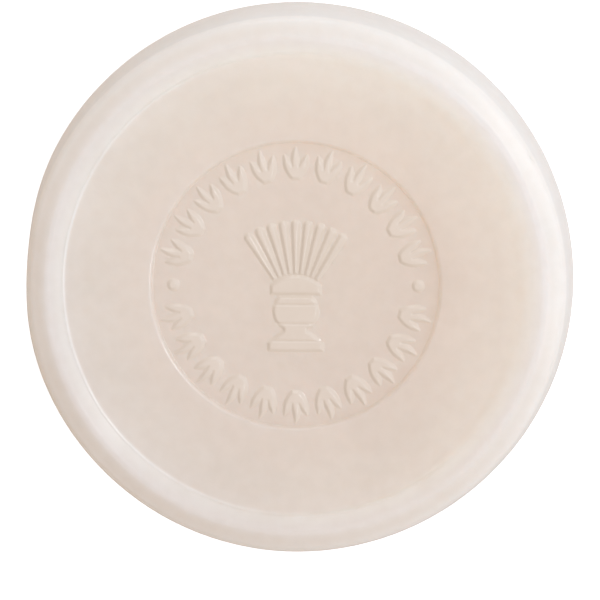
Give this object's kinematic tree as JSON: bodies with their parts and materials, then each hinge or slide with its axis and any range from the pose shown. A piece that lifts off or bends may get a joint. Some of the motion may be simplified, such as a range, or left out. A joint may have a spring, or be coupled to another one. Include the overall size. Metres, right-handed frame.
{
  "type": "shaving soap puck",
  "caption": "Round pressed shaving soap cake with a raised rounded rim, a shallow dished face and a stamped round panel with a raised border and brush emblem; plain flat back.",
  "frame": {"origin": "centre of the flat back face that the puck lies on", "axes": "+Z out of the stamped face along the puck's axis, +Y towards the top of the emblem, +X to the right of the emblem"},
  "size_m": [0.066, 0.066, 0.02],
  "materials": {
    "pressed_soap": "smooth, slightly waxy pressed soap, cream to pale pink, slightly translucent",
    "relief_soap": "the same pressed soap, with the soft edges of stamped relief"
  },
  "bodies": {
    "root": {"soap_cake": "pressed_soap", "upper_border": "relief_soap", "lower_border": "relief_soap", "border_beads": "relief_soap", "emblem_bristles": "relief_soap", "emblem_collar": "relief_soap", "emblem_handle": "relief_soap"}
  },
  "joints": []
}
